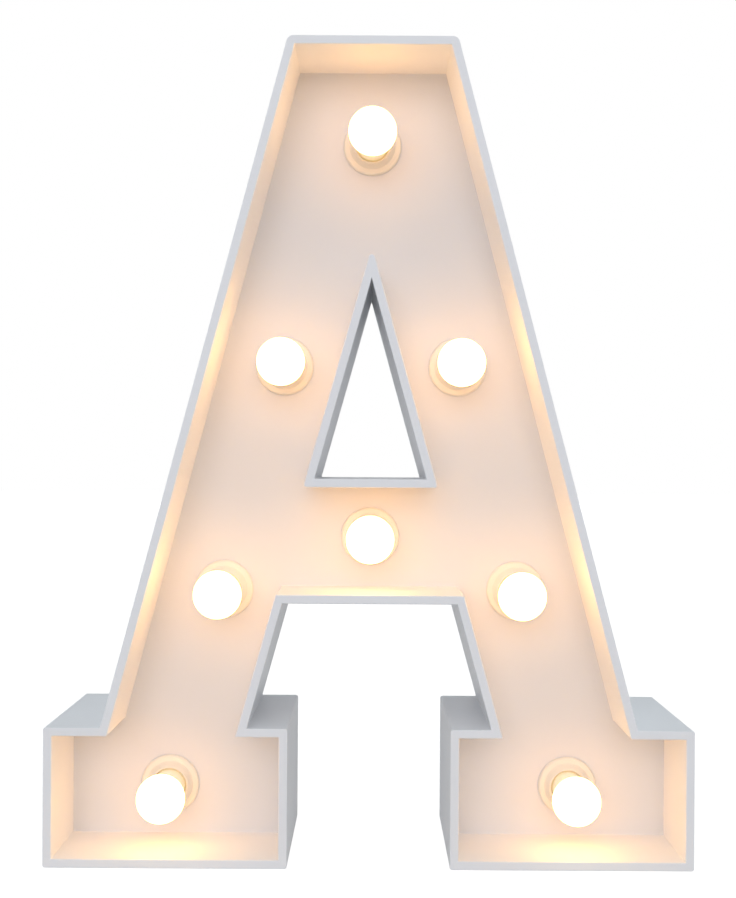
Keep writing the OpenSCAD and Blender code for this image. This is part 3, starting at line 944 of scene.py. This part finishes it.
@dataclass
class Batteries:
    """The cells and their contacts, in the bay along the leg."""

    rim_r: float = 0.7 * MM
    rim_steps: int = 5
    film_edge_r: float = 4.35 * MM
    film_t: float = 0.12 * MM
    band_l: float = 11.0 * MM
    minus_r: float = 3.7 * MM
    minus_groove: float = 0.2 * MM
    button_r: float = 1.9 * MM
    button_h: float = 0.8 * MM
    button_round: float = 0.3 * MM
    button_skirt: float = 0.6 * MM
    film: Colour = (0.045, 0.11, 0.26)
    band: Colour = (0.62, 0.64, 0.66)
    can_metal: Colour = (0.7, 0.69, 0.66)
    plate_arris: float = 0.05 * MM
    spring_base_r: float = 3.6 * MM
    spring_tip_r: float = 1.6 * MM
    spring_l: float = 4.1 * MM
    spring_seat: float = 0.05 * MM
    spring_wire_d: float = 0.6 * MM
    spring_turns: float = 3.5
    points_per_turn: int = 24
    wire_roundness: int = 3

    def __post_init__(self) -> None:
        """Takes the bay's directions from the door's hinge."""
        hinge = next(j for j in frame["joints"] if j["child"] == Body.DOOR.value)
        self.across = Vector(hinge["axis"]).normalized()
        self.up = Vector((-self.across.z, 0.0, self.across.x))

    def middle(self, node: str) -> Vector:
        """Middle of a node's box."""
        low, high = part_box(node)
        return (low + high) / 2

    def ends(self, node: str, way: Vector) -> tuple[Vector, float]:
        """Finds where a node starts along a direction, and how long it is.

        Args:
            node: The node's name.
            way: The direction.

        Returns:
            The point on its middle line where it starts, and its length.
        """
        middle = self.middle(node)
        spans = [way.dot(v.co - middle) for v in frame["nodes"][node].data.vertices]
        return middle + way * min(spans), max(spans) - min(spans)

    def build(self) -> None:
        """Makes the cells and their contacts."""
        nickel = CONTACT.material()
        for number, way in ((1, -1.0), (2, 1.0)):
            self.build_cell(f"battery_cell_{number}", self.up * way)
        dress(softened_copy("contact_plus", self.plate_arris), Body.LETTER, nickel)
        self.build_sprung("contact_minus", "battery_cell_2", 1.0, nickel)
        self.build_sprung("contact_bridge", "battery_cell_1", -1.0, nickel)

    def cell_profile(self, radius: float, length: float) -> Profile:
        """Works out a cell's outline: plate in a rolled rim, film-wrapped can, shoulder and button.

        Args:
            radius: The can's radius.
            length: The length with the button.

        Returns:
            Radius and height pairs from the minus plate to the button.
        """
        top = length - self.button_h
        turns = [math.pi / 2 * k / self.rim_steps for k in range(self.rim_steps + 1)]
        core = radius - self.rim_r
        rolled = [(core + self.rim_r * math.sin(a), self.rim_r * (1 - math.cos(a))) for a in turns]
        shoulder = [(core + self.rim_r * math.cos(a), top - self.rim_r * (1 - math.sin(a))) for a in turns]
        neck = length - self.button_round
        crown = self.button_r - self.button_round
        curl = self.button_round
        capped = [(crown + curl * math.cos(a), neck + curl * math.sin(a)) for a in turns]
        return [
            (0.0, 0.0),
            (self.minus_r, 0.0),
            (self.minus_r + self.minus_groove, self.minus_groove),
            (self.film_edge_r, self.minus_groove),
            (self.film_edge_r, 0.0),
            *rolled,
            *shoulder,
            (self.film_edge_r, top),
            (self.film_edge_r, top - self.film_t),
            (self.button_r + self.button_skirt, top - self.film_t),
            (self.button_r, top + self.film_t),
            *capped,
            (0.0, length),
        ]

    def build_cell(self, node: str, towards_plus: Vector) -> None:
        """Makes one cell.

        Args:
            node: The cell's node.
            towards_plus: The direction of its plus end.
        """
        low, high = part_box(node)
        foot, length = self.ends(node, towards_plus)
        cell = lathe(f"{node}_turned", self.cell_profile((high.y - low.y) / 2, length), foot, towards_plus)
        jacket = CellJacket(
            f"{node}_film",
            film=self.film,
            band=self.band,
            metal=self.can_metal,
            direction=towards_plus,
            foot=foot,
            band_from=length - self.button_h - self.band_l,
            bare_r=self.film_edge_r,
        )
        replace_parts(cell, node)
        dress(cell, Body.LETTER, jacket.material())

    def build_sprung(self, node: str, cell: str, way: float, finish: bpy.types.Material) -> None:
        """Makes a contact plate and the spring that stands on it.

        Args:
            node: The contact's node.
            cell: The cell that the spring pushes on.
            way: 1 where the spring points up the bay, -1 where it points down.
            finish: The plating.
        """
        mesh = merged(node)
        parts = sorted(loose_parts(mesh), key=lambda part: max(v.co.y for v in part))
        bmesh.ops.delete(mesh, geom=list(parts[0]), context="VERTS")
        plate = to_object(f"{node}_plate", mesh)
        soften(plate, self.plate_arris)
        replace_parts(plate, node)
        dress(plate, Body.LETTER, finish)
        towards = self.up * way
        tip, _ = self.ends(cell, towards)
        coil = self.spring(f"{node}_spring", tip - towards * (self.spring_l + self.spring_seat), towards)
        dress(coil, Body.LETTER, finish)

    def spring(self, name: str, foot: Vector, towards: Vector) -> bpy.types.Object:
        """Winds a conical spring.

        Args:
            name: The object's name.
            foot: The middle of its widest turn's seat.
            towards: The direction that it narrows in.

        Returns:
            The spring as a round wire.
        """
        curve = bpy.data.curves.new(name, "CURVE")
        curve.dimensions = "3D"
        curve.bevel_depth = self.spring_wire_d / 2
        curve.bevel_resolution = self.wire_roundness
        curve.use_fill_caps = True
        count = int(self.spring_turns * self.points_per_turn) + 1
        line = curve.splines.new("POLY")
        line.points.add(count - 1)
        rise = self.spring_l - self.spring_wire_d
        for k, point in enumerate(line.points):
            share = k / (count - 1)
            angle = 2 * math.pi * k / self.points_per_turn
            radius = self.spring_base_r + share * (self.spring_tip_r - self.spring_base_r)
            level = self.spring_wire_d / 2 + share * rise
            spoke = math.cos(angle) * self.across + math.sin(angle) * REAR
            point.co = (*(foot + towards * level + radius * spoke), 1.0)
        line.use_smooth = True
        return new_object(name, curve)


@dataclass
class Leads:
    """The thin leads behind the recessed face, whose rounding draws them in by the regained width."""

    regain: float = 0.05 * MM
    rounding: int = 1
    fold_angle: float = math.radians(40)
    any_shape: float = math.radians(180)

    def build(self) -> None:
        """Makes each lead as a round wire along its node."""
        for node, slot, finish in (
            ("wire_black", Slot.BLACK, BLACK),
            ("wire_red", Slot.RED, RED),
            ("wire_feed", Slot.RED, RED),
        ):
            mesh = merged(node)
            bmesh.ops.join_triangles(
                mesh,
                faces=mesh.faces,
                angle_face_threshold=self.fold_angle,
                angle_shape_threshold=self.any_shape,
            )
            for vert in mesh.verts:
                vert.co += vert.normal * self.regain
            lead = to_object(f"{node}_round", mesh)
            rounded = lead.modifiers.new("round", "SUBSURF")
            rounded.levels = self.rounding
            rounded.render_levels = self.rounding
            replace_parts(lead, node)
            dress(lead, Body.LETTER, finish.material())


@dataclass(frozen=True)
class Lamp:
    """One soft box of the studio."""

    name: str
    place: Place
    aim: Place
    size: float
    power: float
    colour: Colour
    glare: bool = True

    def build(self) -> None:
        """Hangs the soft box."""
        data = bpy.data.lights.new(self.name, "AREA")
        data.shape = "DISK"
        data.size = self.size
        data.energy = self.power
        data.color = self.colour
        lamp = new_object(self.name, data)
        lamp.location = self.place
        lamp.visible_glossy = self.glare
        lamp.rotation_mode = "QUATERNION"
        lamp.rotation_quaternion = (Vector(self.aim) - Vector(self.place)).to_track_quat("-Z", "Y")


@dataclass
class Studio:
    """The camera, the soft light, the white surroundings and the pale floor."""

    stand_off: float = 301.0 * MM
    eye_x: float = 0.0
    eye_z: float = 106.7 * MM
    focal_px: float = 1142.0
    axis_px: Span = (370.6, 465.0)
    sensor: float = 36.0
    roll: float = 0.35
    clip: Span = (0.01, 50.0)
    sky_strength: float = 0.75
    sky_rest: float = 0.25
    sky_front: Span = (0.0, 0.6)
    floor_half: float = 4.0
    floor_drop: float = 0.1 * MM
    floor_albedo: float = 0.5
    floor_shade: float = 0.22
    floor_fill: float = 0.96
    lamps: tuple[Lamp, ...] = (
        Lamp("front_softbox", (-0.12, -1.6, 0.5), (0.0, 0.0, 0.1), 1.2, 8.0, (0.93, 0.935, 1.0)),
        Lamp("top_softbox", (0.1, 0.1, 1.4), (0.0, 0.0, 0.1), 1.0, 2.4, (0.56, 0.87, 1.0)),
        Lamp("back_softbox", (0.0, 3.0, 0.14), (0.0, 0.0, 0.11), 0.5, 52.0, (0.97, 0.98, 1.0), False),
        Lamp("left_softbox", (-2.0, 0.0, 0.12), (0.0, 0.0, 0.11), 0.3, 9.0, (0.97, 0.98, 1.0), False),
        Lamp("right_softbox", (2.0, 0.0, 0.12), (0.0, 0.0, 0.11), 0.3, 9.0, (0.97, 0.98, 1.0), False),
    )

    def build(self) -> None:
        """Sets up the studio."""
        bpy.context.scene.view_settings.view_transform = "Standard"
        self.build_camera()
        self.build_world()
        self.build_floor()
        for lamp in self.lamps:
            lamp.build()

    def build_camera(self) -> None:
        """Stands the camera in front of the letter, where the photograph was taken from."""
        data = bpy.data.cameras.new("camera")
        data.sensor_fit = "AUTO"
        data.sensor_width = self.sensor
        data.lens = self.sensor * self.focal_px / IMAGE_H
        data.shift_x = (IMAGE_W / 2 - self.axis_px[0]) / IMAGE_H
        data.shift_y = (self.axis_px[1] - IMAGE_H / 2) / IMAGE_H
        data.clip_start, data.clip_end = self.clip
        camera = new_object("camera", data)
        turn = Matrix.Rotation(math.radians(-self.roll), 4, "Y") @ Matrix.Rotation(math.pi / 2, 4, "X")
        eye = Vector((self.eye_x, cad_box[0].y - self.stand_off, self.eye_z))
        camera.matrix_world = Matrix.Translation(eye) @ turn
        bpy.context.scene.camera = camera

    def seen(self, graph: Graph) -> Socket:
        """Share of rays that show the surroundings: from the camera, in a gloss or through glass."""
        kinds = ("Camera", "Glossy", "Transmission")
        camera, glossy, through = (graph.node("ShaderNodeLightPath", output=f"Is {k} Ray") for k in kinds)
        return (camera + glossy + through).step(0.0, 1.0)

    def build_world(self) -> None:
        """Makes a white surround that lights the letter softly."""
        world = bpy.data.worlds.new("studio_world")
        world.use_nodes = True
        bpy.context.scene.world = world
        graph = Graph(world.node_tree, "ShaderNodeOutputWorld")
        ahead = graph.facing("Generated").step(*self.sky_front)
        level = self.sky_strength * (self.sky_rest + (1 - self.sky_rest) * ahead)
        light = graph.node("ShaderNodeBackground", None, {"Color": WHITE, "Strength": level})
        white = graph.node("ShaderNodeBackground", None, {"Color": WHITE, "Strength": 1.0})
        graph.close(graph.node("ShaderNodeMixShader", None, {0: self.seen(graph), 1: light, 2: white}))

    def build_floor(self) -> None:
        """Lays a pale floor that looks white and keeps the letter's shadow."""
        mesh = bmesh.new()
        half = self.floor_half
        corners = ((-half, -half), (half, -half), (half, half), (-half, half))
        mesh.faces.new([mesh.verts.new((x, y, -self.floor_drop)) for x, y in corners])
        floor = to_object("studio_floor", mesh)
        material, graph = new_material("pale_floor")
        greys = [(level, level, level, 1.0) for level in (self.floor_albedo, self.floor_shade)]
        plain, shadow = (graph.node("ShaderNodeBsdfDiffuse", None, {"Color": grey}) for grey in greys)
        fill = graph.node("ShaderNodeEmission", None, {"Color": WHITE, "Strength": self.floor_fill})
        shown = graph.node("ShaderNodeAddShader", None, {0: shadow, 1: fill})
        graph.close(graph.node("ShaderNodeMixShader", None, {0: self.seen(graph), 1: plain, 2: shown}))
        floor.data.materials.append(material)


def main() -> None:
    """Builds the studio and then each sub-assembly of the letter."""
    logging.basicConfig(level=logging.INFO, format="%(name)s: %(message)s")
    for assembly in (Studio(), Housing(), Bulbs(), Back(), Batteries(), Leads()):
        LOG.info("building %s", type(assembly).__name__)
        assembly.build()


if __name__ == "__main__":
    main()
